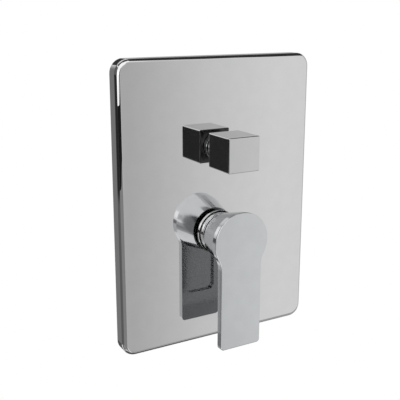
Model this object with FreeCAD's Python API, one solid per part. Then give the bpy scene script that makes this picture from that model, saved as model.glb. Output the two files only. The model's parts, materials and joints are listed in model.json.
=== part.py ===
import FreeCAD, Part
import math
import os

# Concealed single-lever bath and shower mixer: a brass body in the wall, a ceramic mixing
# cartridge, a ceramic diverter, and the chromed plate, lever and knob in front of the wall.
# Millimetres. X points to the user's right, Z up and Y into the wall. The finished wall is
# the plane Y = 0, and the origin is the centre of the cover plate on that plane.

# Cover plate: pressed sheet, open at the back, with two drawn collars
plate_width = 150.0
plate_height = 202.5
plate_depth = 11.0
plate_wall = 1.4
plate_corner = 9.5
plate_edge = 3.0
plate_stand_off = 0.5
collar_length = 4.0
collar_wall = 1.4
collar_gap = 0.4
hole_edge = 0.5

# Foam seal behind the plate
seal_width = 6.0
seal_inset = 2.0
seal_corner = 1.0

# Places of the two valve axes on the plate
mixer_drop = 21.9
axis_spacing = 61.3

# Fits shared by all pieces
water_film = 0.02
running_gap = 0.05
play = 0.1
overrun = 1.0
touch = 0.01
ring_round_share = 0.4
hex_corners = 6
along_share = 0.9

# Mixing cartridge, built up from its seat in the body towards the user
cartridge_seat = 32.0
cartridge_radius = 17.4
cartridge_wall = 2.2
base_gap = 0.4
base_height = 5.0
base_flange = 2.6
peg_radius = 1.8
peg_length = 2.6
peg_circle = 13.5
peg_angles = (45.0, 135.0)
port_circle = 9.0
port_radius = 3.4
port_angles = (210.0, 330.0, 90.0)
seal_bush_wall = 1.2
fixed_disc_height = 4.0
moving_disc_height = 4.0
disc_gap = 0.6
mixing_hollow_radius = 6.5
mixing_hollow_depth = 2.2
disc_travel = 3.6
carrier_height = 4.5
carrier_gap = 0.08
carrier_peg_radius = 1.5
carrier_peg_depth = 1.5
carrier_peg_circle = 8.0
carrier_peg_angles = (0.0, 180.0)
rotor_flange_height = 3.0
rotor_side_gap = 0.3
rotor_radius = 10.0
rotor_groove_depth = 1.3
rotor_groove_width = 2.0
rotor_groove_back = 0.8
roof_height = 2.4
neck_height = 8.5
neck_radius = 14.0

# Spindle and its cross pin
pivot_height = 5.0
pin_radius = 1.5
pin_inset = 0.5
spindle_side = 8.0
spindle_front = 34.0
spindle_shoulder = 2.5
arm_tip_gap = 0.28
arm_width = 5.0
arm_height = 5.2
arm_tip_radius = 1.8
finger_height = 1.8
arm_play = 0.2
slot_lift = 6.9
slot_drop = 6.0
slot_play = 0.4

# Ring nut that holds the cartridge, and the chromed sleeve screwed on it
nut_thread_radius = 19.4
nut_head_radius = 18.2
nut_head_height = 4.6
nut_gap = 0.3
nut_slot_width = 4.0
nut_slot_depth = 3.0
sleeve_wall = 2.2
sleeve_face = 1.4
sleeve_gap = 0.4
sleeve_neck_radius = 15.0
sleeve_neck_wall = 1.8
sleeve_reach = 4.0
sleeve_edge = 0.7
sleeve_groove_depth = 0.9
plate_ring_width = 2.2
plate_ring_back = 0.8

# Lever handle
lever_front = 41.8
lever_head_radius = 20.7
lever_head_rise = 1.3
lever_rim = 18.6
lever_rim_radius = 16.2
lever_shoulder_radius = 20.2
lever_wall = 2.2
lever_face = 3.0
lever_edge = 0.6
paddle_half_width = 15.8
paddle_thickness = 4.8
paddle_length = 76.4
paddle_corner = 2.5
lever_neck = 15.0
lever_boss_radius = 7.5
lever_boss_back = 22.0
socket_play = 0.5
lever_recess_width = 23.0
lever_recess_depth = 2.2
lever_recess_top = 23.5
lever_recess_bottom = 54.0
lever_recess_corner = 4.0
lever_screw_depth = 27.5
lever_screw_radius = 2.5
lever_screw_length = 5.0
plug_radius = 3.2
plug_depth = 2.2
plug_crown = 0.4
hex_key_share = 0.55
hex_depth_share = 0.5

# Diverter, built up from its seat in the body towards the user
diverter_seat = 24.0
diverter_bore = 13.0
diverter_port_circle = 9.0
diverter_port_radius = 2.8
diverter_port_angles = (0.0, 90.0)
port_gasket_height = 1.5
diverter_fixed_height = 3.5
diverter_moving_height = 4.5
diverter_moving_gap = 0.4
diverter_cavity_depth = 2.3
headwork_wall = 0.9
flange_radius = 10.5
flange_height = 2.5
flange_gap = 0.08
tongue_width = 4.0
tongue_height = 0.9
stem_radius = 5.0
stem_groove_depth = 1.4
stem_groove_width = 1.8
stem_groove_places = (4.0, 8.0)
hex_flats = 27.0
hex_height = 6.0
hex_front = 4.0
headwork_seal_height = 1.5
headwork_seal_radius = 15.4
nose_radius = 7.2
nose_length = 9.0
circlip_height = 1.0
circlip_radius = 6.3
circlip_depth = 0.8
circlip_opening = 4.0
stem_tail = 1.0
square_side = 7.0
square_front = 31.0
neck_sleeve_radius = 9.2
neck_sleeve_edge = 0.6
neck_groove_depth = 0.9

# Diverter knob
knob_side = 23.5
knob_back = 17.0
knob_front = 43.2
knob_edge = 0.7
knob_gap = 0.4
knob_screw_depth = 25.0
knob_screw_radius = 2.0
knob_screw_length = 6.0

# Brass body in the wall
barrel_mouth = 2.0
barrel_radius = 22.0
diverter_barrel_radius = 16.5
seat_wall = 1.5
channel_wall = 4.6
barrel_back_wall = 2.0
inlet_channel_radius = 5.5
riser_channel_radius = 4.4
bath_channel_radius = 5.0
body_port_radius = 3.8
riser_overlap = 1.5
riser_radius = 9.0
rear_tube_radius = 8.5
web_half_width = 6.0
arm_radius = 11.0
inlet_reach = 50.0
bath_turn_drop = 8.0
bath_arm = 30.7
shower_reach = 45.0
cast_edge = 1.0
cast_root = 2.0

# Brass unions screwed into the body's four arms, each on a fibre washer
union_flats = 28.0
union_length = 17.0
union_chamfer = 1.2
union_spigot_radius = 8.4
union_spigot_length = 8.0
union_washer = 1.5
union_washer_radius = 12.5
connection_radius = 10.5
connection_thread = 15.0
connection_chamfer = 1.2

# Screw lugs of the body
lug_spacing = 64.0
lug_radius = 7.0
lug_hole_radius = 2.75
lug_height = 5.5

# Places worked out from the sizes above
bath_turn = barrel_radius + bath_turn_drop
bath_reach = bath_turn + bath_arm
plate_front = -plate_depth
plate_back = -plate_stand_off
plate_inside = plate_front + plate_wall
collar_back = plate_inside + collar_length
mixer_z = -mixer_drop
diverter_z = mixer_z + axis_spacing

base_back = cartridge_seat - base_gap
base_front = base_back - base_height
base_step = base_back - base_flange
fixed_front = base_front - fixed_disc_height
moving_back = fixed_front - water_film
moving_front = moving_back - moving_disc_height
carrier_front = moving_front - carrier_height
rotor_back = carrier_front - carrier_gap
rotor_step = rotor_back - rotor_flange_height
roof_inside = rotor_step - running_gap
shoulder = roof_inside - roof_height
neck_front = shoulder - neck_height
rotor_groove_front = neck_front + rotor_groove_back
rotor_groove_rear = rotor_groove_front + rotor_groove_width
pivot_y = rotor_step - pivot_height
cavity_radius = cartridge_radius - cartridge_wall
fixed_disc_radius = cavity_radius - disc_gap
moving_disc_radius = cavity_radius - disc_travel / 2 - disc_gap
arm_tip = moving_front - arm_tip_gap - arm_tip_radius
disc_z = mixer_z + disc_travel / 2

nut_front = barrel_mouth - nut_head_height
sleeve_front = plate_front - sleeve_reach
sleeve_shoulder = nut_front - sleeve_gap - sleeve_face
sleeve_hole = sleeve_neck_radius + collar_gap
plate_ring_rear = collar_back - plate_ring_back
plate_ring_front = plate_ring_rear - plate_ring_width

gasket_front = diverter_seat - port_gasket_height
diverter_fixed_front = gasket_front - diverter_fixed_height
diverter_moving_back = diverter_fixed_front - water_film
diverter_moving_front = diverter_moving_back - diverter_moving_height
flange_front = diverter_moving_front - flange_height
chamber_front = flange_front - flange_gap
chamber_radius = diverter_bore - headwork_wall
hex_face = -hex_front
hex_back = hex_face + hex_height
diverter_mouth = hex_back + headwork_seal_height
nose_front = hex_face - nose_length
circlip_back = nose_front - play
circlip_front = circlip_back - circlip_height
stem_front = circlip_front - stem_tail
neck_sleeve_front = knob_gap - knob_back
neck_hole = neck_sleeve_radius + collar_gap

channel_depth = cartridge_seat + seat_wall + inlet_channel_radius
rear_channel_depth = channel_depth + riser_channel_radius + channel_wall + bath_channel_radius
barrel_back = channel_depth + arm_radius + barrel_back_wall
diverter_back = rear_channel_depth + rear_tube_radius + barrel_back_wall
bath_turn_z = mixer_z - bath_turn
lug_z = (mixer_z + diverter_z) / 2
arm_back = union_length + union_washer

left_mouth = FreeCAD.Vector(-inlet_reach, channel_depth, mixer_z)
right_mouth = FreeCAD.Vector(inlet_reach, channel_depth, mixer_z)
top_mouth = FreeCAD.Vector(0, channel_depth, diverter_z + shower_reach)
bottom_mouth = FreeCAD.Vector(0, channel_depth, mixer_z - bath_reach)
leftward = FreeCAD.Vector(-1, 0, 0)
rightward = FreeCAD.Vector(1, 0, 0)
upward = FreeCAD.Vector(0, 0, 1)
downward = FreeCAD.Vector(0, 0, -1)
connections = (
    (left_mouth, leftward), (right_mouth, rightward), (top_mouth, upward), (bottom_mouth, downward))


def V(x, y, z):
    return FreeCAD.Vector(x, y, z)


def rod(radius, y_from, y_to, x, z):
    return Part.makeCylinder(radius, y_to - y_from, V(x, y_from, z), V(0, 1, 0))


def rod_x(radius, x_from, x_to, y, z):
    return Part.makeCylinder(radius, x_to - x_from, V(x_from, y, z), V(1, 0, 0))


def rod_z(radius, z_from, z_to, x, y):
    return Part.makeCylinder(radius, z_to - z_from, V(x, y, z_from), V(0, 0, 1))


def tube(outer, inner, y_from, y_to, z):
    return rod(outer, y_from, y_to, 0, z).cut(rod(inner, y_from, y_to, 0, z))


def block(x_from, x_to, y_from, y_to, z_from, z_to):
    return Part.makeBox(x_to - x_from, y_to - y_from, z_to - z_from, V(x_from, y_from, z_from))


def square_bar(side, y_from, y_to, z):
    half = side / 2
    return block(-half, half, y_from, y_to, z - half, z + half)


def corner_radius(flats):
    """Radius of a hexagon's corners from its width across the flats."""
    return flats / 2 / math.cos(math.pi / hex_corners)


def hexagon(flats, length, start, direction):
    """Hexagonal prism from a start point along a direction."""
    radius = corner_radius(flats)
    turns = [2 * math.pi * k / hex_corners for k in range(hex_corners + 1)]
    corners = [V(radius * math.cos(turn), radius * math.sin(turn), 0) for turn in turns]
    prism = Part.Face(Part.makePolygon(corners)).extrude(V(0, 0, length))
    prism.Placement = FreeCAD.Placement(start, FreeCAD.Rotation(V(0, 0, 1), direction))
    return prism


def hex_nut(flats, length, start, direction):
    """Hexagonal prism whose corners are turned off at both ends."""
    bar = Part.makeCylinder(corner_radius(flats), length, start, direction)
    bar = bar.makeChamfer(union_chamfer, circles(bar))
    return hexagon(flats, length, start, direction).common(bar)


def joined(first, *others):
    return first.multiFuse(list(others)).removeSplitter()


def cut_all(shape, cutters):
    return shape.cut(Part.makeCompound(cutters))


def edges_at(shape, y):
    """Edges that lie in the plane at this depth."""
    boxes = [(edge, edge.BoundBox) for edge in shape.Edges]
    return [edge for edge, box in boxes if abs(box.YMin - y) < touch and abs(box.YMax - y) < touch]


def circles(shape):
    return [edge for edge in shape.Edges if isinstance(edge.Curve, Part.Circle)]


def soft_ring(inner, outer, y_from, y_to, z):
    """Pressed O-ring: flat where it is squeezed, round at its four corners."""
    ring = tube(outer, inner, y_from, y_to, z)
    return ring.makeFillet(ring_round_share * min(outer - inner, y_to - y_from), circles(ring))


def on_circle(radius, angle, z):
    turn = math.radians(angle)
    return radius * math.cos(turn), z + radius * math.sin(turn)


def drilled(radius, circle, angles, y_from, y_to, z):
    """Round holes or pegs on a pitch circle."""
    places = [on_circle(circle, angle, z) for angle in angles]
    return [rod(radius, y_from, y_to, x, height) for x, height in places]


def rounded_panel(width, height, corner, y_from, y_to):
    panel = block(-width / 2, width / 2, y_from, y_to, -height / 2, height / 2)
    along_y = [edge for edge in panel.Edges if abs(edge.tangentAt(0).y) > along_share]
    return panel.makeFillet(corner, along_y)


def set_screw(radius, top, length, y):
    """Headless screw standing on its point at the top, with a hexagon socket below."""
    low = top - length
    flats = 2 * radius * hex_key_share
    socket = hexagon(flats, length * hex_depth_share, V(0, y, low), V(0, 0, 1))
    return rod_z(radius, low, top, 0, y).cut(socket)


def cover_plate():
    """Pressed plate with a drawn collar round each opening."""
    outer = rounded_panel(plate_width, plate_height, plate_corner, plate_front, plate_back)
    outer = outer.makeFillet(plate_edge, edges_at(outer, plate_front))
    width = plate_width - 2 * plate_wall
    height = plate_height - 2 * plate_wall
    inner = rounded_panel(width, height, plate_corner - plate_wall, plate_inside, overrun)
    inner = inner.makeFillet(plate_edge - plate_wall, edges_at(inner, plate_inside))
    shell = outer.cut(inner)
    for hole, z in ((sleeve_hole, mixer_z), (neck_hole, diverter_z)):
        shell = joined(shell, rod(hole + collar_wall, plate_inside, collar_back, 0, z))
        shell = shell.cut(rod(hole, plate_front - overrun, collar_back + overrun, 0, z))
    rims = [edge for edge in edges_at(shell, plate_front) if edge.isClosed()]
    return shell.makeFillet(hole_edge, rims)


def plate_seal():
    """Foam strip glued inside the plate, which closes it against the tile."""
    inset = plate_wall + seal_inset
    width = plate_width - 2 * inset
    height = plate_height - 2 * inset
    corner = plate_corner - inset
    outer = rounded_panel(width, height, corner, plate_inside, 0)
    width = width - 2 * seal_width
    height = height - 2 * seal_width
    return outer.cut(rounded_panel(width, height, seal_corner, plate_inside, 0))


def union(mouth, outward):
    """Hexagon fitting with a threaded mouth, and a spigot that screws into the body's arm."""
    inward = outward * -1
    whole = union_length + union_spigot_length
    hexagonal = hex_nut(union_flats, union_length, mouth, inward)
    spigot = Part.makeCylinder(union_spigot_radius, whole, mouth, inward)
    thread = Part.makeCylinder(connection_radius, connection_thread, mouth, inward)
    wide = connection_radius + connection_chamfer
    lead = Part.makeCone(wide, connection_radius, connection_chamfer, mouth, inward)
    way = Part.makeCylinder(inlet_channel_radius, whole, mouth, inward)
    return cut_all(joined(hexagonal, spigot), [thread, lead, way])


def hot_union():
    return union(left_mouth, leftward)


def cold_union():
    return union(right_mouth, rightward)


def shower_union():
    return union(top_mouth, upward)


def bath_union():
    return union(bottom_mouth, downward)


def union_washers():
    """Fibre washers between the unions' hexagons and the ends of the body's arms."""
    rings = []
    for mouth, outward in connections:
        start = mouth - outward * union_length
        disc = Part.makeCylinder(union_washer_radius, union_washer, start, outward * -1)
        rings.append(disc.cut(Part.makeCylinder(union_spigot_radius, union_washer, start, outward * -1)))
    return Part.makeCompound(rings)


def cast_barrel(radius, y_from, y_to, z):
    barrel = rod(radius, y_from, y_to, 0, z)
    return barrel.makeFillet(cast_edge, circles(barrel))


def lug_bar():
    """Bar across the body with a round lug at each end."""
    front = barrel_back - lug_height
    half = lug_spacing / 2
    bar = joined(
        block(-half, half, front, barrel_back, lug_z - lug_radius, lug_z + lug_radius),
        rod(lug_radius, front, barrel_back, -half, lug_z),
        rod(lug_radius, front, barrel_back, half, lug_z))
    return bar.makeFillet(cast_edge, edges_at(bar, front))


def arm_roots(casting):
    """Curved edges where the four arms grow out of the barrels."""
    roots = []
    for edge in casting.Edges:
        if edge.Degenerated or not isinstance(edge.Curve, Part.BSplineCurve):
            continue
        middle = edge.valueAt((edge.FirstParameter + edge.LastParameter) / 2)
        off_axis = [(middle - mouth).cross(outward).Length for mouth, outward in connections]
        if any(abs(distance - arm_radius) < touch for distance in off_axis):
            roots.append(edge)
    return roots


def valve_body():
    """Brass casting: mixing barrel, diverter barrel, water channels, four arms, two lugs."""
    inlet_end = inlet_reach - arm_back
    casting = joined(
        cast_barrel(barrel_radius, barrel_mouth, barrel_back, mixer_z),
        cast_barrel(diverter_barrel_radius, diverter_mouth, diverter_back, diverter_z),
        rod_z(riser_radius, mixer_z, diverter_z, 0, channel_depth),
        rod_z(rear_tube_radius, bath_turn_z, diverter_z, 0, rear_channel_depth),
        Part.makeSphere(rear_tube_radius, V(0, rear_channel_depth, bath_turn_z)),
        rod(rear_tube_radius, channel_depth, rear_channel_depth, 0, bath_turn_z),
        block(-web_half_width, web_half_width, channel_depth, rear_channel_depth,
              bath_turn_z, diverter_z),
        rod_x(arm_radius, -inlet_end, inlet_end, channel_depth, mixer_z),
        rod_z(arm_radius, bottom_mouth.z + arm_back, mixer_z, 0, channel_depth),
        rod_z(arm_radius, diverter_z, top_mouth.z - arm_back, 0, channel_depth),
        lug_bar())
    casting = casting.makeFillet(cast_root, arm_roots(casting))
    return cut_all(casting, body_hollows())


def body_hollows():
    """Bores, seats, ports and water channels of the body."""
    socket = union_length + union_spigot_length + play
    cuts = []
    for mouth, outward in connections:
        cuts.append(Part.makeCylinder(union_spigot_radius, socket, mouth, outward * -1))
    mouth = barrel_mouth - overrun
    cuts.append(rod(cartridge_radius + play, mouth, cartridge_seat, 0, mixer_z))
    cuts.append(rod(nut_thread_radius, mouth, shoulder + play, 0, mixer_z))
    seat = cartridge_seat - overrun
    cuts += drilled(peg_radius + play, peg_circle, peg_angles, seat, cartridge_seat + peg_length, mixer_z)
    cuts += drilled(body_port_radius, port_circle, port_angles, seat, channel_depth, mixer_z)
    hot_x = on_circle(port_circle, port_angles[0], mixer_z)[0]
    cold_x = on_circle(port_circle, port_angles[1], mixer_z)[0]
    cuts.append(rod_x(inlet_channel_radius, -inlet_reach, hot_x, channel_depth, mixer_z))
    cuts.append(rod_x(inlet_channel_radius, cold_x, inlet_reach, channel_depth, mixer_z))
    riser_top = diverter_z + riser_overlap
    cuts.append(rod_z(riser_channel_radius, mixer_z + port_circle, riser_top, 0, channel_depth))
    cuts.append(rod(diverter_bore, diverter_mouth - overrun, diverter_seat, 0, diverter_z))
    seat = diverter_seat - overrun
    cuts.append(rod(diverter_port_radius, seat, channel_depth, 0, diverter_z))
    bath_x, bath_z = on_circle(diverter_port_circle, diverter_port_angles[0], diverter_z)
    shower_x, shower_z = on_circle(diverter_port_circle, diverter_port_angles[1], diverter_z)
    cuts.append(rod(diverter_port_radius, seat, rear_channel_depth, bath_x, bath_z))
    cuts.append(rod(diverter_port_radius, seat, channel_depth, shower_x, shower_z))
    cuts.append(rod_z(riser_channel_radius, shower_z - riser_channel_radius, top_mouth.z, 0, channel_depth))
    cuts.append(rod_x(bath_channel_radius, 0, bath_x, rear_channel_depth, diverter_z))
    cuts.append(rod_z(bath_channel_radius, bath_turn_z, diverter_z, 0, rear_channel_depth))
    cuts.append(rod(bath_channel_radius, channel_depth, rear_channel_depth, 0, bath_turn_z))
    cuts.append(rod_z(bath_channel_radius, bottom_mouth.z, bath_turn_z, 0, channel_depth))
    for x in (-lug_spacing / 2, lug_spacing / 2):
        cuts.append(rod(lug_hole_radius, 0, diverter_back, x, lug_z))
    return cuts


def cartridge_base():
    """Foot of the cartridge, with three ports and two locating pegs."""
    flange = rod(cartridge_radius, base_step, base_back, 0, mixer_z)
    spigot = rod(cavity_radius - play, base_front, base_step, 0, mixer_z)
    pegs = drilled(peg_radius, peg_circle, peg_angles, base_step, base_back + peg_length, mixer_z)
    base = joined(flange, spigot, *pegs)
    bush = port_radius + seal_bush_wall
    front = base_front - overrun
    return cut_all(base, drilled(bush, port_circle, port_angles, front, base_back + overrun, mixer_z))


def base_seals():
    """Three rubber bushes that seal the ports against the body and the fixed disc."""
    outer = port_radius + seal_bush_wall
    bushes = drilled(outer, port_circle, port_angles, base_front, cartridge_seat, mixer_z)
    holes = drilled(port_radius, port_circle, port_angles, base_front, cartridge_seat, mixer_z)
    return Part.makeCompound([bush.cut(hole) for bush, hole in zip(bushes, holes)])


def fixed_disc():
    disc = rod(fixed_disc_radius, fixed_front, base_front, 0, mixer_z)
    front = fixed_front - overrun
    return cut_all(disc, drilled(port_radius, port_circle, port_angles, front, base_front + overrun, mixer_z))


def moving_disc():
    """Upper ceramic disc, hollow on its sliding face, with two holes for the carrier's pegs."""
    disc = rod(moving_disc_radius, moving_front, moving_back, 0, disc_z)
    hollow_front = moving_back - mixing_hollow_depth
    hollow = rod(mixing_hollow_radius, hollow_front, moving_back + overrun, 0, disc_z)
    peg_back = moving_front + carrier_peg_depth
    front = moving_front - overrun
    holes = drilled(carrier_peg_radius, carrier_peg_circle, carrier_peg_angles, front, peg_back, disc_z)
    return cut_all(disc, [hollow] + holes)


def disc_carrier():
    """Drives the moving disc from the spindle's tip, which works in its slot."""
    carrier = rod(moving_disc_radius, carrier_front, moving_front, 0, disc_z)
    peg_back = moving_front + carrier_peg_depth
    pegs = drilled(carrier_peg_radius, carrier_peg_circle, carrier_peg_angles,
                   carrier_front, peg_back, disc_z)
    half_width = arm_width / 2 + arm_play
    half_height = arm_tip_radius + arm_play
    slot = block(-half_width, half_width, carrier_front - overrun, moving_front + overrun,
                 mixer_z - half_height, mixer_z + half_height)
    return joined(carrier, *pegs).cut(slot)


def cartridge_housing():
    skirt = rod(cartridge_radius, shoulder, base_step, 0, mixer_z)
    neck = rod(neck_radius, neck_front, shoulder, 0, mixer_z)
    cavity = rod(cavity_radius, roof_inside, base_step + overrun, 0, mixer_z)
    bore = rod(rotor_radius + running_gap, neck_front - overrun, roof_inside + overrun, 0, mixer_z)
    return cut_all(joined(skirt, neck), [cavity, bore])


def cartridge_rotor():
    """Turning guide that carries the spindle's cross pin and steers the carrier."""
    flange = rod(cavity_radius - rotor_side_gap, rotor_step, rotor_back, 0, mixer_z)
    stem = rod(rotor_radius, neck_front, rotor_step, 0, mixer_z)
    half_width = spindle_side / 2 + play
    half_height = spindle_side / 2 + slot_play
    front_slot = block(-half_width, half_width, neck_front - overrun, pivot_y,
                       mixer_z - half_height, mixer_z + slot_lift)
    rear_slot = block(-half_width, half_width, pivot_y, rotor_back + overrun,
                      mixer_z - slot_drop, mixer_z + half_height)
    pin_hole = rod_x(pin_radius, -rotor_radius, rotor_radius, pivot_y, mixer_z)
    groove = tube(rotor_radius + overrun, rotor_radius - rotor_groove_depth,
                  rotor_groove_front, rotor_groove_rear, mixer_z)
    return cut_all(joined(flange, stem), [front_slot, rear_slot, pin_hole, groove])


def rotor_ring():
    inner = rotor_radius - rotor_groove_depth
    outer = rotor_radius + running_gap - water_film
    return soft_ring(inner, outer, rotor_groove_front, rotor_groove_rear, mixer_z)


def pivot_pin():
    reach = rotor_radius - pin_inset
    return rod_x(pin_radius, -reach, reach, pivot_y, mixer_z)


def mixer_spindle():
    """Square lever spindle, crossed by the pin, with a round tip in the carrier."""
    shank = square_bar(spindle_side, -spindle_front, pivot_y + spindle_shoulder, mixer_z)
    half_width = arm_width / 2
    half_height = arm_height / 2
    arm = block(-half_width, half_width, pivot_y, carrier_front - overrun,
                mixer_z - half_height, mixer_z + half_height)
    half_height = finger_height / 2
    finger = block(-half_width, half_width, pivot_y, arm_tip, mixer_z - half_height, mixer_z + half_height)
    tip = rod_x(arm_tip_radius, -half_width, half_width, arm_tip, mixer_z)
    hole = rod_x(pin_radius + running_gap, -spindle_side, spindle_side, pivot_y, mixer_z)
    return joined(shank, arm, finger, tip).cut(hole)


def cartridge_nut():
    """Brass ring nut: screws into the barrel and presses on the cartridge's shoulder."""
    thread = rod(nut_thread_radius, barrel_mouth, shoulder, 0, mixer_z)
    head = rod(nut_head_radius, nut_front, barrel_mouth, 0, mixer_z)
    bore = rod(neck_radius + nut_gap, nut_front - overrun, shoulder + overrun, 0, mixer_z)
    half = nut_slot_width / 2
    slot = block(-nut_head_radius, nut_head_radius, nut_front - overrun, nut_front + nut_slot_depth,
                 mixer_z - half, mixer_z + half)
    return cut_all(joined(thread, head), [bore, slot])


def cartridge_sleeve():
    """Chromed neck between the plate and the lever's head, with a cap screwed on the ring nut."""
    cap = rod(nut_head_radius + sleeve_wall, sleeve_shoulder, barrel_mouth, 0, mixer_z)
    neck = rod(sleeve_neck_radius, sleeve_front, barrel_mouth, 0, mixer_z)
    neck = neck.makeFillet(sleeve_edge, edges_at(neck, sleeve_front))
    bore = rod(nut_head_radius, sleeve_shoulder + sleeve_face, barrel_mouth, 0, mixer_z)
    mouth = rod(sleeve_neck_radius - sleeve_neck_wall, sleeve_front - overrun, barrel_mouth, 0, mixer_z)
    groove = tube(sleeve_hole, sleeve_neck_radius - sleeve_groove_depth,
                  plate_ring_front, plate_ring_rear, mixer_z)
    return cut_all(joined(cap, neck), [bore, mouth, groove])


def sleeve_ring():
    inner = sleeve_neck_radius - sleeve_groove_depth
    return soft_ring(inner, sleeve_hole, plate_ring_front, plate_ring_rear, mixer_z)


def head_back_share(y):
    """How far this depth lies from the lever's front face towards its rim."""
    return (y + lever_front) / (lever_front - lever_rim)


def head_radius(y):
    """Radius of the lever's head: a slight draft along the paddle's edge, then a cone to the rim."""
    behind = y + lever_front - paddle_thickness
    if behind > 0:
        cone = behind / (lever_front - paddle_thickness - lever_rim)
        return lever_shoulder_radius - (lever_shoulder_radius - lever_rim_radius) * cone
    draft = 1 + behind / paddle_thickness
    return lever_head_radius - (lever_head_radius - lever_shoulder_radius) * draft


def head_z(y):
    """Height of the head's centre, which comes down to the cartridge's axis at the rim."""
    return mixer_z + lever_head_rise * (1 - head_back_share(y))


def lever_outline(y):
    """Keyhole outline: round head, hollow neck curves, straight paddle with small corners."""
    head = head_radius(y)
    side = paddle_half_width
    centre = head_z(y)
    low = head_z(-lever_front) - paddle_length - centre
    reach = head + lever_neck
    neck_x = side + lever_neck
    neck_z = -math.sqrt(reach ** 2 - neck_x ** 2)
    turn_x = neck_x * head / reach
    turn_z = neck_z * head / reach
    bisector = math.hypot(neck_x + reach, neck_z)
    mid_x = neck_x - lever_neck * (neck_x + reach) / bisector
    mid_z = neck_z - lever_neck * neck_z / bisector
    bend = paddle_corner * (1 - math.sqrt(1 / 2))

    def at(x, z):
        return V(x, y, centre + z)

    def arc(first, middle, last):
        return Part.Arc(first, middle, last).toShape()

    edges = [arc(at(-turn_x, turn_z), at(0, head), at(turn_x, turn_z))]
    for way in (1, -1):
        edges.append(arc(at(way * turn_x, turn_z), at(way * mid_x, mid_z), at(way * side, neck_z)))
        edges.append(Part.makeLine(at(way * side, neck_z), at(way * side, low + paddle_corner)))
        edges.append(arc(at(way * side, low + paddle_corner), at(way * (side - bend), low + bend),
                         at(way * (side - paddle_corner), low)))
    edges.append(Part.makeLine(at(side - paddle_corner, low), at(paddle_corner - side, low)))
    return Part.Wire(Part.__sortEdges__(edges))


def head_solid(wall, y_from, y_to):
    """Slanting cone inside the lever's head, this wall thickness away from its outside."""
    rings = []
    for y in (y_from, y_to):
        ring = Part.makeCircle(head_radius(y) - wall, V(0, y, head_z(y)), V(0, 1, 0))
        rings.append(Part.Wire(ring))
    return Part.makeLoft(rings, True, True)


def lever_handle():
    """Cast lever: flat paddle, hollow round head, boss with a square socket."""
    paddle_back = paddle_thickness - lever_front
    face_back = lever_face - lever_front
    paddle = Part.makeLoft([lever_outline(-lever_front), lever_outline(paddle_back)], True, True)
    paddle = paddle.makeFillet(lever_edge, edges_at(paddle, -lever_front))
    skirt = head_solid(0, paddle_back, -lever_rim)
    cavity = head_solid(lever_wall, face_back, overrun - lever_rim)
    boss = rod(lever_boss_radius, face_back, -lever_boss_back, 0, mixer_z)
    socket = square_bar(spindle_side, -spindle_front - socket_play, overrun - lever_boss_back, mixer_z)
    screw_low = mixer_z - lever_boss_radius - overrun
    screw_hole = rod_z(lever_screw_radius, screw_low, mixer_z, 0, -lever_screw_depth)
    plug_z = head_z(-lever_screw_depth) - head_radius(-lever_screw_depth)
    key_hole = rod_z(plug_radius, plug_z - overrun, plug_z + lever_wall + overrun, 0, -lever_screw_depth)
    half = lever_recess_width / 2
    recess = block(-half, half, paddle_back - lever_recess_depth, paddle_back + overrun,
                   mixer_z - lever_recess_bottom, mixer_z - lever_recess_top)
    along_y = [edge for edge in recess.Edges if abs(edge.tangentAt(0).y) > along_share]
    recess = recess.makeFillet(lever_recess_corner, along_y)
    cup = joined(paddle, skirt).cut(cavity)
    return cut_all(joined(cup, boss), [socket, screw_hole, key_hole, recess])


def lever_screw():
    return set_screw(lever_screw_radius, mixer_z - spindle_side / 2, lever_screw_length, -lever_screw_depth)


def lever_plug():
    """Plug that closes the key hole on the underside of the lever's head."""
    outside = head_z(-lever_screw_depth) - head_radius(-lever_screw_depth)
    plug = rod_z(plug_radius, outside - plug_crown, outside + plug_depth, 0, -lever_screw_depth)
    low = [edge for edge in circles(plug) if edge.BoundBox.ZMax < outside]
    return plug.makeFillet(plug_crown, low)


def diverter_gasket():
    gasket = rod(diverter_bore - play, gasket_front, diverter_seat, 0, diverter_z)
    return cut_all(gasket, diverter_ports(gasket_front, diverter_seat))


def diverter_ports(y_from, y_to):
    """The middle inlet port and the two outlet ports, cut right through."""
    start = y_from - overrun
    end = y_to + overrun
    outlets = drilled(diverter_port_radius, diverter_port_circle, diverter_port_angles,
                      start, end, diverter_z)
    return [rod(diverter_port_radius, start, end, 0, diverter_z)] + outlets


def diverter_fixed_disc():
    disc = rod(chamber_radius - running_gap, diverter_fixed_front, gasket_front, 0, diverter_z)
    return cut_all(disc, diverter_ports(diverter_fixed_front, gasket_front))


def diverter_moving_disc():
    """Ceramic disc whose hollow joins the middle port to one outlet at a time."""
    radius = chamber_radius - diverter_moving_gap
    disc = rod(radius, diverter_moving_front, diverter_moving_back, 0, diverter_z)
    cavity_front = diverter_moving_back - diverter_cavity_depth
    end = diverter_moving_back + overrun
    half = diverter_port_radius
    cavity = joined(
        rod(half, cavity_front, end, 0, diverter_z),
        rod(half, cavity_front, end, diverter_port_circle, diverter_z),
        block(0, diverter_port_circle, cavity_front, end, diverter_z - half, diverter_z + half))
    return disc.cut(cavity).cut(drive_tongue())


def drive_tongue():
    """Tongue on the spindle's flange that turns the moving disc."""
    half = tongue_width / 2
    bar = block(-flange_radius, flange_radius, flange_front, diverter_moving_front + tongue_height,
                diverter_z - half, diverter_z + half)
    return bar.common(rod(flange_radius, flange_front, diverter_moving_back, 0, diverter_z))


def stem_grooves():
    """Front and rear planes of each O-ring groove on the diverter's stem."""
    return [(hex_back + place - stem_groove_width, hex_back + place) for place in stem_groove_places]


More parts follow.
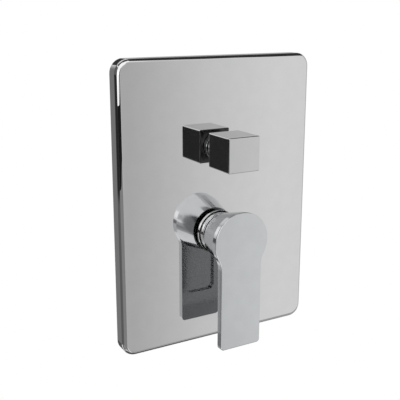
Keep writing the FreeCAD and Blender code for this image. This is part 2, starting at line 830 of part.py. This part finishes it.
def diverter_spindle():
    flange = rod(flange_radius, flange_front, diverter_moving_front, 0, diverter_z)
    stem = rod(stem_radius, stem_front, flange_front, 0, diverter_z)
    square = square_bar(square_side, -square_front, stem_front, diverter_z)
    blank = joined(flange, drive_tongue(), stem, square)
    floor = stem_radius - stem_groove_depth
    wide = stem_radius + overrun
    grooves = [tube(wide, floor, front, rear, diverter_z) for front, rear in stem_grooves()]
    grooves.append(tube(wide, stem_radius - circlip_depth, circlip_front, circlip_back, diverter_z))
    return cut_all(blank, grooves)


def stem_rings():
    floor = stem_radius - stem_groove_depth
    outer = stem_radius + running_gap - water_film
    grooves = stem_grooves()
    return Part.makeCompound([soft_ring(floor, outer, front, rear, diverter_z) for front, rear in grooves])


def diverter_headwork():
    """Brass bonnet: hexagon, threaded barrel with the disc chamber, nose for the sleeve."""
    head = hex_nut(hex_flats, hex_height, V(0, hex_face, diverter_z), V(0, 1, 0))
    barrel = rod(diverter_bore, hex_back, gasket_front, 0, diverter_z)
    nose = rod(nose_radius, nose_front, hex_face, 0, diverter_z)
    bore = rod(stem_radius + running_gap, nose_front - overrun, gasket_front, 0, diverter_z)
    chamber = rod(chamber_radius, chamber_front, gasket_front + overrun, 0, diverter_z)
    return cut_all(joined(head, barrel, nose), [bore, chamber])


def headwork_seal():
    return tube(headwork_seal_radius, diverter_bore, hex_back, diverter_mouth, diverter_z)


def diverter_circlip():
    """Open spring ring in the stem's groove, in front of the headwork's nose."""
    ring = tube(circlip_radius, stem_radius - circlip_depth, circlip_front, circlip_back, diverter_z)
    half = circlip_opening / 2
    return ring.cut(block(-half, half, circlip_front, circlip_back, diverter_z, diverter_z + circlip_radius))


def neck_sleeve():
    """Round chromed neck between the plate and the knob, screwed on the headwork's nose."""
    neck = rod(neck_sleeve_radius, neck_sleeve_front, hex_face, 0, diverter_z)
    neck = neck.makeFillet(neck_sleeve_edge, edges_at(neck, neck_sleeve_front))
    bore = rod(nose_radius, neck_sleeve_front - overrun, hex_face, 0, diverter_z)
    groove = tube(neck_hole, neck_sleeve_radius - neck_groove_depth,
                  plate_ring_front, plate_ring_rear, diverter_z)
    return cut_all(neck, [bore, groove])


def neck_ring():
    inner = neck_sleeve_radius - neck_groove_depth
    return soft_ring(inner, neck_hole, plate_ring_front, plate_ring_rear, diverter_z)


def diverter_knob():
    """Square knob with a square socket and a screw hole in its underside."""
    knob = square_bar(knob_side, -knob_front, -knob_back, diverter_z)
    knob = knob.makeFillet(knob_edge, knob.Edges)
    socket = square_bar(square_side, -square_front - socket_play, overrun - knob_back, diverter_z)
    low = diverter_z - knob_side / 2
    screw_hole = rod_z(knob_screw_radius, low - overrun, diverter_z, 0, -knob_screw_depth)
    return cut_all(knob, [socket, screw_hole])


def knob_screw():
    return set_screw(knob_screw_radius, diverter_z - square_side / 2, knob_screw_length, -knob_screw_depth)


pieces = (
    cover_plate, plate_seal, valve_body, hot_union, cold_union, shower_union, bath_union, union_washers,
    cartridge_base, base_seals, fixed_disc, moving_disc, disc_carrier, cartridge_housing,
    cartridge_rotor, rotor_ring, pivot_pin, mixer_spindle, cartridge_nut, cartridge_sleeve, sleeve_ring,
    lever_handle, lever_screw, lever_plug,
    diverter_gasket, diverter_fixed_disc, diverter_moving_disc, diverter_spindle, stem_rings,
    diverter_headwork, headwork_seal, diverter_circlip, neck_sleeve, neck_ring,
    diverter_knob, knob_screw)

os.makedirs("parts", exist_ok=True)
for piece in pieces:
    shape = piece()
    shape.exportStep("parts/" + piece.__name__ + ".step")
    print(piece.__name__, len(shape.Solids), shape.isValid(), round(shape.Volume, 1))
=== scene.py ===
import bpy
import json
import math
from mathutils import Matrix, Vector


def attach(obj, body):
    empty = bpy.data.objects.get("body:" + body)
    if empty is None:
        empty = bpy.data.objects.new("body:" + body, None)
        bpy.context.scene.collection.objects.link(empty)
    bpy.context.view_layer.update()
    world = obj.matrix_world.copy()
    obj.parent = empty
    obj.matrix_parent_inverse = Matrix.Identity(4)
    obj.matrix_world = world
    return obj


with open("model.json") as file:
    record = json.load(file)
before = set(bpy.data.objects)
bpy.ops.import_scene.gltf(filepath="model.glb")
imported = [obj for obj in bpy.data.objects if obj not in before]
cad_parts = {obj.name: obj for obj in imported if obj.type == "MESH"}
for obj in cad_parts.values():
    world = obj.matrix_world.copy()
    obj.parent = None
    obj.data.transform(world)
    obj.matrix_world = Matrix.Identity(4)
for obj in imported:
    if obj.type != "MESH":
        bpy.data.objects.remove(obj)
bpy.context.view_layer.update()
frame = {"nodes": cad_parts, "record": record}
nodes = frame["nodes"]
record = frame["record"]
joints = {joint["name"]: joint for joint in record["behaviour"]["joints"]}
scene = bpy.context.scene
scene.view_settings.view_transform = "Standard"

MM = 0.001

# Camera of the photograph, fitted to the plate, the knob and the lever: millimetres, degrees, pixels
CAMERA_PLACE = (-244.67, -418.93, 130.10)
CAMERA_TURN = 29.31
CAMERA_PITCH = 14.14
FOCAL_PIXELS = 702.22
IMAGE_PIXELS = 400
IMAGE_CENTRE = (199.28, 187.98)
SENSOR_WIDTH = 36.0

# Middles of the chromed pieces on the wall's plane, in metres
PLATE_MIDDLE = (0.0, 0.0, 0.0)
LEVER_MIDDLE = joints["temperature_turn"]["pos_m"]
KNOB_MIDDLE = joints["diverter_turn"]["pos_m"]

# Shares of a noise texture's range that colours and gloss are spread over
HAZE_RANGE = (0.35, 0.65)
BLOTCH_RANGE = (0.32, 0.68)
GLOSS_RANGE = (0.30, 0.70)

# Pipe thread in the four unions: how far the ridge's foot sits in the wall, its height and pitch and
# the plain stretch past it in millimetres, and its start and run-out in turns
THREAD_SINK = 0.05
THREAD_HEIGHT = 1.20
THREAD_PITCH = 1.814
THREAD_MARGIN = 1.2
THREAD_START = 0.5
THREAD_RUN_OUT = 0.5
THREAD_STEPS = 48
THREAD_SHARP_ANGLE = 25.0

# Section of the ridge: place along the pitch, and share of the full height
THREAD_SECTION = ((-0.50, 0.0), (-0.07, 1.0), (0.07, 1.0), (0.50, 0.0))

# Studio round the valve, in metres
FLOOR_DROP = 1.0
FLOOR_REACH = 4.0
SURROUND_RADIUS = 1.6
SURROUND_TOP = 1.3
SURROUND_SIDES = 96
GROUND_HEIGHT = -0.95
CARD_GAP = 0.01
ROUND_CARD_RADIUS = 0.50
WIDE_CARD_RADIUS = 1.58
FLAG_RADIUS = 1.55

# Strength of the light that matt surfaces get from world and floor, and of the glowing cards
PLAIN_LEVEL = 0.55
GLOW_LEVEL = 1.5

# Key lamp: degrees from the front, metres and watts
KEY_BEARING = -35.0
KEY_DISTANCE = 1.45
KEY_RISE = 0.2035
KEY_WIDTH = 1.20
KEY_HEIGHT = 0.653
KEY_POWER = 3.0


def linear(code):
    """sRGB hex colour as linear red, green, blue, alpha."""
    parts = [int(code[k:k + 2], 16) / 255 for k in (1, 3, 5)]
    return tuple(c / 12.92 if c <= 0.04045 else ((c + 0.055) / 1.055) ** 2.4 for c in parts) + (1.0,)


def per_metre(size_mm):
    """Texture scale for a pattern whose features are this many millimetres wide."""
    return 1.0 / (size_mm * MM)


def add(tree, kind, links=None, values=None, stops=(), **settings):
    """Adds a node to a tree, with its settings, input values, links and, for a ramp, its stops."""
    node = tree.nodes.new(kind)
    for name, value in settings.items():
        setattr(node, name, value)
    for socket, value in (values or {}).items():
        node.inputs[socket].default_value = value
    for socket, source in (links or {}).items():
        tree.links.new(source, node.inputs[socket])
    for k, (place, code) in enumerate(stops):
        if k == len(node.color_ramp.elements):
            node.color_ramp.elements.new(1.0)
        node.color_ramp.elements[k].position = place
        node.color_ramp.elements[k].color = linear(code)
    return node


def bare_material(name):
    """A material whose node tree is still empty."""
    material = bpy.data.materials.new(name)
    material.use_nodes = True
    material.node_tree.nodes.clear()
    return material, material.node_tree


def polished_chrome(name, colours, rough, wave_mm, wave_height_mm, haze_mm, hidden=None):
    """Chromium plate over polished metal: a cool mirror, with a slow wave left by the buffing wheel.

    Sides that face a middle point on the wall are hidden ones: the wheel and the full thickness of
    chromium don't reach them, so that they stay satin and a little darker. On the knob and the lever
    their colour is darkened further as painted shade, for the shade between the part and the wall.
    They are given as that point, the roughness that they have more than the rest, and their colour,
    which is darkened partly by painted shade.
    """
    material, tree = bare_material(name)
    coords = add(tree, "ShaderNodeTexCoord").outputs
    place = coords["Object"]
    haze = add(tree, "ShaderNodeTexNoise", {"Vector": place}, {"Scale": per_metre(haze_mm), "Detail": 4.0})
    tint = add(tree, "ShaderNodeValToRGB", {"Fac": haze.outputs["Fac"]},
               stops=tuple(zip(HAZE_RANGE, colours)))
    gloss = add(tree, "ShaderNodeMapRange", {"Value": haze.outputs["Fac"]},
                {"From Min": GLOSS_RANGE[0], "From Max": GLOSS_RANGE[1],
                 "To Min": rough[0], "To Max": rough[1]})
    colour = tint.outputs["Color"]
    roughness = gloss.outputs["Result"]
    if hidden:
        middle, satin_rough, satin_and_shade_code = hidden
        spoke = add(tree, "ShaderNodeVectorMath", {0: place}, {1: middle}, operation="SUBTRACT")
        facing = add(tree, "ShaderNodeVectorMath", {0: spoke.outputs["Vector"], 1: coords["Normal"]},
                     operation="DOT_PRODUCT")
        inside = add(tree, "ShaderNodeMath", {0: facing.outputs["Value"]}, {1: 0.0}, operation="LESS_THAN")
        satin = add(tree, "ShaderNodeMath", {0: inside.outputs["Value"], 2: roughness}, {1: satin_rough},
                    operation="MULTIPLY_ADD")
        # Hidden sides take the darker colour: partly the satin finish, partly painted shade between the part
        # and the wall
        shade = add(tree, "ShaderNodeMix", {"Factor": inside.outputs["Value"], "A": colour},
                    {"B": linear(satin_and_shade_code)}, data_type="RGBA")
        colour = shade.outputs["Result"]
        roughness = satin.outputs["Value"]
    wave = add(tree, "ShaderNodeTexNoise", {"Vector": place}, {"Scale": per_metre(wave_mm), "Detail": 1.0})
    relief = add(tree, "ShaderNodeBump", {"Height": wave.outputs["Fac"]},
                 {"Strength": 1.0, "Distance": wave_height_mm * MM})
    shader = add(tree, "ShaderNodeBsdfPrincipled",
                 {"Base Color": colour, "Roughness": roughness, "Normal": relief.outputs["Normal"]},
                 {"Metallic": 1.0})
    add(tree, "ShaderNodeOutputMaterial", {"Surface": shader.outputs["BSDF"]})
    return material


def grained(name, colours, rough, grain_mm, grain_height_mm, metallic=0.0, blotch_mm=12.0, ior=1.5):
    """A solid material with a surface grain, and slow blotches in its colour and gloss."""
    material, tree = bare_material(name)
    place = add(tree, "ShaderNodeTexCoord").outputs["Object"]
    blotch = add(tree, "ShaderNodeTexNoise", {"Vector": place},
                 {"Scale": per_metre(blotch_mm), "Detail": 5.0})
    tint = add(tree, "ShaderNodeValToRGB", {"Fac": blotch.outputs["Fac"]},
               stops=tuple(zip(BLOTCH_RANGE, colours)))
    gloss = add(tree, "ShaderNodeMapRange", {"Value": blotch.outputs["Fac"]},
                {"From Min": GLOSS_RANGE[0], "From Max": GLOSS_RANGE[1],
                 "To Min": rough[0], "To Max": rough[1]})
    grain = add(tree, "ShaderNodeTexNoise", {"Vector": place}, {"Scale": per_metre(grain_mm), "Detail": 3.0})
    relief = add(tree, "ShaderNodeBump", {"Height": grain.outputs["Fac"]},
                 {"Strength": 1.0, "Distance": grain_height_mm * MM})
    shader = add(tree, "ShaderNodeBsdfPrincipled",
                 {"Base Color": tint.outputs["Color"], "Roughness": gloss.outputs["Result"],
                  "Normal": relief.outputs["Normal"]},
                 {"Metallic": metallic, "IOR": ior})
    add(tree, "ShaderNodeOutputMaterial", {"Surface": shader.outputs["BSDF"]})
    return material


# Finishes, each named for what the piece is made of and how it was worked.
# Turning marks, drawing lines and the texture of a mould are finer than the render shows, so they are
# drawn as a grain of half a millimetre or more.

# Sheet steel, pressed, buffed and plated: a clear grey mirror, a little wavy over its wide face
plate_chrome = polished_chrome(
    "chrome_on_pressed_steel", ("#cbcbcb", "#cdcdcd"), (0.03, 0.04),
    wave_mm=60.0, wave_height_mm=0.003, haze_mm=9.0, hidden=(PLATE_MIDDLE, 0.30, "#c0c0c0"))

# Zinc casting, buffed and plated: a soft, slightly blue sheen that blurs what it mirrors; its back towards
# the wall is satin, and darker partly as painted shade
lever_chrome = polished_chrome(
    "chrome_on_zinc_casting", ("#c2c4c6", "#c5c7c9"), (0.13, 0.14),
    wave_mm=30.0, wave_height_mm=0.001, haze_mm=9.0, hidden=(LEVER_MIDDLE, 0.08, "#a8aaac"))

# Brass, milled square and plated: flat mirrors, each face in one tone, with a satin back whose dark colour
# is painted shade between the knob and the plate
knob_chrome = polished_chrome(
    "chrome_on_milled_brass", ("#c2c2c2", "#c4c4c4"), (0.05, 0.06),
    wave_mm=18.0, wave_height_mm=0.001, haze_mm=9.0, hidden=(KNOB_MIDDLE, 0.25, "#6a6a6a"))

# Brass, turned and plated: bright rings that draw the room together into thin light and dark lines
trim_chrome = polished_chrome(
    "chrome_on_turned_brass", ("#c8c9ca", "#cecfd0"), (0.05, 0.09),
    wave_mm=14.0, wave_height_mm=0.002, haze_mm=4.0)

# Brass out of a sand mould: a dull gold skin with the sand's grain and darker blotches
cast_brass = grained(
    "sand_cast_brass", ("#a98443", "#c7a560"), (0.34, 0.48),
    grain_mm=0.9, grain_height_mm=0.12, metallic=1.0, blotch_mm=14.0)

# Brass off the lathe: a lighter, smoother gold that shines along edges and threads
turned_brass = grained(
    "turned_brass", ("#c2a058", "#d2b26c"), (0.20, 0.30),
    grain_mm=0.5, grain_height_mm=0.02, metallic=1.0, blotch_mm=8.0)

# Acetal, moulded: milky white with a soft, even sheen
white_plastic = grained(
    "moulded_acetal", ("#d3d2cb", "#dedcd5"), (0.40, 0.50),
    grain_mm=0.6, grain_height_mm=0.02, ior=1.48)

# Nylon with glass fibres, moulded: nearly black, with a greyish sheen from the fibres
dark_plastic = grained(
    "moulded_glass_filled_nylon", ("#2b2d30", "#36393c"), (0.42, 0.55),
    grain_mm=0.6, grain_height_mm=0.03, ior=1.53)

# Rubber, moulded: a deep black that hardly shines
rubber = grained(
    "moulded_epdm_rubber", ("#151515", "#1f1f1f"), (0.55, 0.70),
    grain_mm=0.7, grain_height_mm=0.03, ior=1.48)

# Fibre board, pressed and punched: a dry reddish brown, finely mottled, with no shine
fibre = grained(
    "pressed_fibre", ("#7b3a28", "#94503a"), (0.70, 0.85),
    grain_mm=0.8, grain_height_mm=0.06, blotch_mm=2.0, ior=1.54)

# Alumina, fired and lapped flat: a warm white with a glassy shine
ceramic = grained(
    "lapped_alumina", ("#e9e6de", "#f1efe9"), (0.12, 0.20),
    grain_mm=0.5, grain_height_mm=0.004, ior=1.77)

# Stainless steel, drawn to wire and cut: a cool grey with a blurred shine
steel = grained(
    "drawn_stainless_steel", ("#a9abad", "#bcbec0"), (0.25, 0.36),
    grain_mm=0.5, grain_height_mm=0.01, metallic=1.0)

# Closed-cell foam, cut to a strip: dark and dull, with small pits that swallow the light
foam = grained(
    "closed_cell_foam", ("#1e1f21", "#2a2b2d"), (0.85, 0.95),
    grain_mm=0.9, grain_height_mm=0.35, blotch_mm=5.0, ior=1.51)

# ABS, moulded: a light grey with some gloss, close to the tone of the lever around it
plug_plastic = grained(
    "moulded_abs", ("#b9bcc0", "#c4c7ca"), (0.22, 0.30),
    grain_mm=0.6, grain_height_mm=0.01, ior=1.54)

FINISHES = (
    (plate_chrome, ("cover_plate",)),
    (lever_chrome, ("lever_handle",)),
    (knob_chrome, ("diverter_knob",)),
    (trim_chrome, ("cartridge_sleeve", "neck_sleeve")),
    (cast_brass, ("valve_body",)),
    (turned_brass, ("mixer_spindle", "cartridge_nut", "diverter_spindle", "diverter_headwork",
                    "hot_union", "cold_union", "shower_union", "bath_union")),
    (white_plastic, ("cartridge_base", "cartridge_housing")),
    (dark_plastic, ("disc_carrier", "cartridge_rotor")),
    (rubber, ("base_seals", "rotor_ring", "sleeve_ring", "diverter_gasket", "stem_rings", "neck_ring")),
    (fibre, ("headwork_seal", "union_washers")),
    (ceramic, ("fixed_disc", "moving_disc", "diverter_fixed_disc", "diverter_moving_disc")),
    (steel, ("pivot_pin", "lever_screw", "diverter_circlip", "knob_screw")),
    (foam, ("plate_seal",)),
    (plug_plastic, ("lever_plug",)),
)
for finish, names in FINISHES:
    for name in names:
        for slot in nodes[name].material_slots:
            slot.material = finish


def thread_ridge(name, mouth, inward, bore_radius, bore_length):
    """The thread inside a union: one helical ridge that runs out at both ends."""
    side = inward.orthogonal().normalized()
    other = inward.cross(side)
    root = bore_radius + THREAD_SINK
    count = int((bore_length - THREAD_MARGIN - THREAD_PITCH) / THREAD_PITCH * THREAD_STEPS)
    points = []
    for k in range(count + 1):
        turns = k / THREAD_STEPS
        spoke = side * math.cos(2 * math.pi * turns) + other * math.sin(2 * math.pi * turns)
        turns_left = (count - k) / THREAD_STEPS
        rise = min(1.0, turns / THREAD_RUN_OUT, turns_left / THREAD_RUN_OUT)
        for shift, share in THREAD_SECTION:
            radius = root - THREAD_HEIGHT * rise * share
            depth = THREAD_PITCH * (THREAD_START + turns + shift)
            points.append(mouth + (spoke * radius + inward * depth) * MM)
    corners = len(THREAD_SECTION)
    faces = []
    for k in range(count):
        for a in range(corners):
            b = (a + 1) % corners
            here = corners * k
            ahead = here + corners
            faces.append((here + a, here + b, ahead + b, ahead + a))
    faces.append(tuple(reversed(range(corners))))
    faces.append(tuple(range(corners * count, corners * (count + 1))))
    mesh = bpy.data.meshes.new(name)
    mesh.from_pydata(points, [], faces)
    mesh.materials.append(turned_brass)
    mesh.shade_smooth()
    mesh.set_sharp_from_angle(angle=math.radians(THREAD_SHARP_ANGLE))
    ridge = bpy.data.objects.new(name, mesh)
    scene.collection.objects.link(ridge)
    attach(ridge, "valve")


for mount in record["mounts"]:
    if mount["kind"] == "threaded_hole":
        outward = Vector(mount["axis"])
        radius = mount["dims"]["r_mm"]
        length = mount["dims"]["length_mm"]
        mouth = Vector(mount["pos_m"]) + outward * length / 2 * MM
        thread_ridge(mount["name"] + "_thread", mouth, -outward, radius, length)


def seen_as_white(tree):
    """White for what the camera, metal and glass see, and the plain light level for the rest."""
    path = add(tree, "ShaderNodeLightPath").outputs
    seen = add(tree, "ShaderNodeMath", {0: path["Is Camera Ray"], 1: path["Is Glossy Ray"]},
               operation="MAXIMUM")
    seen = add(tree, "ShaderNodeMath", {0: seen.outputs["Value"], 1: path["Is Transmission Ray"]},
               operation="MAXIMUM")
    level = add(tree, "ShaderNodeMapRange", {"Value": seen.outputs["Value"]},
                {"To Min": PLAIN_LEVEL, "To Max": 1.0})
    return level.outputs["Result"]


def stage_mesh(name, points, faces, material):
    """A thing of the studio, which isn't part of the valve."""
    mesh = bpy.data.meshes.new(name)
    mesh.from_pydata(points, [], faces)
    mesh.materials.append(material)
    thing = bpy.data.objects.new(name, mesh)
    scene.collection.objects.link(thing)
    return thing


def arc(radius, bearings, height):
    """Points round the valve at these bearings, counted from the front towards the user's right."""
    turns = [math.radians(bearing) for bearing in bearings]
    return [(radius * math.sin(turn), -radius * math.cos(turn), height) for turn in turns]


def strip(first_row, second_row):
    """Points and faces of a strip between two rows of points."""
    count = len(first_row)
    faces = [(k, k + 1, count + k + 1, count + k) for k in range(count - 1)]
    return first_row + second_row, faces


# White studio: the world, and a floor far below
world = bpy.data.worlds.new("white_studio")
scene.world = world
world.use_nodes = True
tree = world.node_tree
tree.nodes.clear()
sky = add(tree, "ShaderNodeBackground", {"Strength": seen_as_white(tree)}, {"Color": linear("#ffffff")})
add(tree, "ShaderNodeOutputWorld", {"Surface": sky.outputs["Background"]})

floor_paint, tree = bare_material("white_floor")
shine = add(tree, "ShaderNodeEmission", {"Strength": seen_as_white(tree)}, {"Color": linear("#ffffff")})
add(tree, "ShaderNodeOutputMaterial", {"Surface": shine.outputs["Emission"]})
floor_edges = (-FLOOR_REACH, FLOOR_REACH)
floor_rows = [[(x, y, -FLOOR_DROP) for x in floor_edges] for y in floor_edges]
stage_mesh("floor", *strip(*floor_rows), floor_paint)

# Greys of the paper surround that the chrome mirrors, by bearing: a pale wall, and a band of darker
# flags in front of it at the height of the valve
PALE_WALL = (
    (-180, "#ffffff"), (-166, "#f4f4f4"), (-157, "#8a8a8a"), (-146, "#868686"), (-138, "#6c6c6c"),
    (-110, "#6c6c6c"), (-56, "#787878"), (-46, "#f4f4f4"), (-20, "#f4f4f4"), (-10, "#e6e6e6"),
    (12, "#dadada"), (21, "#cecece"), (29, "#ececec"), (37, "#ffffff"), (60, "#ffffff"),
    (90, "#d0d0d0"), (156, "#aaaaaa"), (166, "#f4f4f4"), (180, "#ffffff"))
DARK_FLAGS = (
    (-180, "#ffffff"), (-166, "#f4f4f4"), (-157, "#8a8a8a"), (-146, "#868686"), (-138, "#3a3a3a"),
    (-68, "#2c2c2c"), (-60, "#e8e8e8"), (-46, "#e8e8e8"), (-40, "#343434"), (-31, "#404040"),
    (-24, "#343434"), (-17, "#e0e0e0"), (1, "#f8f8f8"), (13, "#f8f8f8"), (18, "#cecece"),
    (21, "#cecece"), (29, "#ececec"), (37, "#ffffff"), (60, "#ffffff"), (90, "#d0d0d0"),
    (156, "#aaaaaa"), (166, "#f4f4f4"), (180, "#ffffff"))

# Heights between which the flags' foot and top fade into the wall
FLAGS_FOOT = (-0.42, -0.37)
FLAGS_TOP = (0.00, 0.10)


def surround_paper():
    """Paper that gives off the greys above, by its bearing and height."""
    material, tree = bare_material("grey_paper_surround")
    place = add(tree, "ShaderNodeTexCoord").outputs["Object"]
    axes = add(tree, "ShaderNodeSeparateXYZ", {"Vector": place}).outputs
    front = add(tree, "ShaderNodeMath", {0: axes["Y"]}, {1: -1.0}, operation="MULTIPLY")
    bearing = add(tree, "ShaderNodeMath", {0: axes["X"], 1: front.outputs["Value"]}, operation="ARCTAN2")
    turn = add(tree, "ShaderNodeMapRange", {"Value": bearing.outputs["Value"]},
               {"From Min": -math.pi, "From Max": math.pi})
    wall, flags = [
        add(tree, "ShaderNodeValToRGB", {"Fac": turn.outputs["Result"]},
            stops=[((degrees + 180) / 360, code) for degrees, code in greys])
        for greys in (PALE_WALL, DARK_FLAGS)]
    above = add(tree, "ShaderNodeMapRange", {"Value": axes["Z"]},
                {"From Min": FLAGS_FOOT[0], "From Max": FLAGS_FOOT[1]}, interpolation_type="SMOOTHSTEP")
    below = add(tree, "ShaderNodeMapRange", {"Value": axes["Z"]},
                {"From Min": FLAGS_TOP[1], "From Max": FLAGS_TOP[0]}, interpolation_type="SMOOTHSTEP")
    band = add(tree, "ShaderNodeMath", {0: above.outputs["Result"], 1: below.outputs["Result"]},
               operation="MULTIPLY")
    grey = add(tree, "ShaderNodeMix",
               {"Factor": band.outputs["Value"], "A": wall.outputs["Color"], "B": flags.outputs["Color"]},
               data_type="RGBA")
    light = add(tree, "ShaderNodeEmission", {"Color": grey.outputs["Result"]})
    add(tree, "ShaderNodeOutputMaterial", {"Surface": light.outputs["Emission"]})
    return material


all_round = [360 * k / SURROUND_SIDES for k in range(SURROUND_SIDES + 1)]
surround_rows = [arc(SURROUND_RADIUS, all_round, height) for height in (-FLOOR_DROP, SURROUND_TOP)]
surround = stage_mesh("surround", *strip(*surround_rows), surround_paper())
surround.visible_camera = False
surround.visible_shadow = False


def studio_card(name, code, points, faces, strength=1.0):
    """A grey or glowing card that shows in reflections only."""
    material, tree = bare_material(name)
    light = add(tree, "ShaderNodeEmission", values={"Color": linear(code), "Strength": strength})
    add(tree, "ShaderNodeOutputMaterial", {"Surface": light.outputs["Emission"]})
    card = stage_mesh(name, points, faces, material)
    card.visible_camera = False
    card.visible_diffuse = False
    card.visible_shadow = False


# Round cards straight below and above the valve: name, grey and height
for name, code, height in (
        ("ground_card", "#606060", GROUND_HEIGHT),
        ("ceiling_card", "#3a3a3a", SURROUND_TOP)):
    points = arc(ROUND_CARD_RADIUS, range(-180, 180, 5), height)
    studio_card(name, code, points, [tuple(range(len(points)))])

# Fan-shaped cards on the ground and under the ceiling: name, grey, height, radius and bearings
for name, code, height, radius, bearings in (
        ("right_ground_card", "#bcbcbc", GROUND_HEIGHT - CARD_GAP, WIDE_CARD_RADIUS, range(12, 109, 4)),
        ("left_ground_card", "#808080", GROUND_HEIGHT - 2 * CARD_GAP, WIDE_CARD_RADIUS, range(-118, -69, 4)),
        ("back_ground_card", "#606060", GROUND_HEIGHT - 3 * CARD_GAP, WIDE_CARD_RADIUS, range(108, 205, 4)),
        ("left_ceiling_card", "#3a3a3a", SURROUND_TOP - CARD_GAP, 1.20, range(-124, -59, 4)),
        ("right_ceiling_card", "#3a3a3a", SURROUND_TOP + CARD_GAP, WIDE_CARD_RADIUS, range(38, 151, 4))):
    points = [(0.0, 0.0, height)] + arc(radius, bearings, height)
    studio_card(name, code, points, [tuple(range(len(points)))])

# Upright flags in front of the surround: name, grey, bearings, foot and top
for name, code, bearings, foot, top in (
        ("top_flag", "#303030", range(42, 135, 4), 0.95, 1.30),
        ("corner_flag", "#404040", range(158, 198, 4), 0.40, 1.05),
        ("low_corner_flag", "#404040", range(156, 205, 4), -0.99, -0.50)):
    studio_card(name, code, *strip(arc(FLAG_RADIUS, bearings, foot), arc(FLAG_RADIUS, bearings, top)))

# Two small flags close to the plate's left edge, a dark one over a grey one, which in the photograph's
# view only that edge sees. Their posts: bearing, foot of the dark flag and its top
NEAR_FLAG_PLACE = Vector((-0.073, -0.011, 0.0))
NEAR_FLAG_RADIUS = 0.05
NEAR_FLAG_FOOT = -0.160
NEAR_FLAG_POSTS = (
    (12, 0.027, 0.100), (2, 0.024, 0.093), (-8, 0.018, 0.079), (-18, 0.009, 0.067),
    (-30, 0.006, 0.066), (-48, 0.005, 0.066), (-66, 0.005, 0.066))
low_row = []
middle_row = []
top_row = []
for bearing, foot, top in NEAR_FLAG_POSTS:
    for row, height in ((low_row, NEAR_FLAG_FOOT), (middle_row, foot), (top_row, top)):
        row.append(NEAR_FLAG_PLACE + Vector(arc(NEAR_FLAG_RADIUS, [bearing], height)[0]))
studio_card("near_grey_flag", "#9a9a9a", *strip(low_row, middle_row))
studio_card("near_dark_flag", "#242424", *strip(middle_row, top_row))

# Glowing cards at the left, above and below the valve's height: name, bearings, and the radius and
# height of both edges
for name, bearings, first_edge, second_edge in (
        ("upper_left_glow", range(-62, 11, 6), (0.95, 0.29), (0.95, 1.28)),
        ("upper_front_glow", range(10, 29, 6), (0.95, 0.72), (0.95, 1.28)),
        ("top_left_glow", range(-62, 29, 6), (0.95, 1.28), (0.70, 1.28)),
        ("low_left_glow", range(-62, -37, 6), (1.50, -0.79), (1.50, -0.93)),
        ("ground_glow", range(-62, 11, 6), (1.50, -0.94), (0.80, -0.94))):
    rows = [arc(radius, bearings, height) for radius, height in (first_edge, second_edge)]
    studio_card(name, "#ffffff", *strip(*rows), strength=GLOW_LEVEL)

# Key lamp: a soft box at the front left that shines level towards the valve
key = bpy.data.lights.new("key", "AREA")
key.shape = "RECTANGLE"
key.size = KEY_WIDTH
key.size_y = KEY_HEIGHT
key.energy = KEY_POWER
key_lamp = bpy.data.objects.new("key", key)
key_lamp.location = arc(KEY_DISTANCE, [KEY_BEARING], KEY_RISE)[0]
towards_valve = Vector((-key_lamp.location.x, -key_lamp.location.y, 0.0))
key_lamp.rotation_euler = towards_valve.to_track_quat("-Z", "Y").to_euler()
scene.collection.objects.link(key_lamp)

# Camera at the photograph's viewpoint
lens = bpy.data.cameras.new("camera")
lens.sensor_width = SENSOR_WIDTH
lens.lens = FOCAL_PIXELS / IMAGE_PIXELS * SENSOR_WIDTH
lens.shift_x = (IMAGE_PIXELS / 2 - IMAGE_CENTRE[0]) / IMAGE_PIXELS
lens.shift_y = (IMAGE_CENTRE[1] - IMAGE_PIXELS / 2) / IMAGE_PIXELS
camera = bpy.data.objects.new("camera", lens)
camera.location = [v * MM for v in CAMERA_PLACE]
camera.rotation_euler = (math.radians(90 - CAMERA_PITCH), 0, math.radians(-CAMERA_TURN))
scene.collection.objects.link(camera)
scene.camera = camera
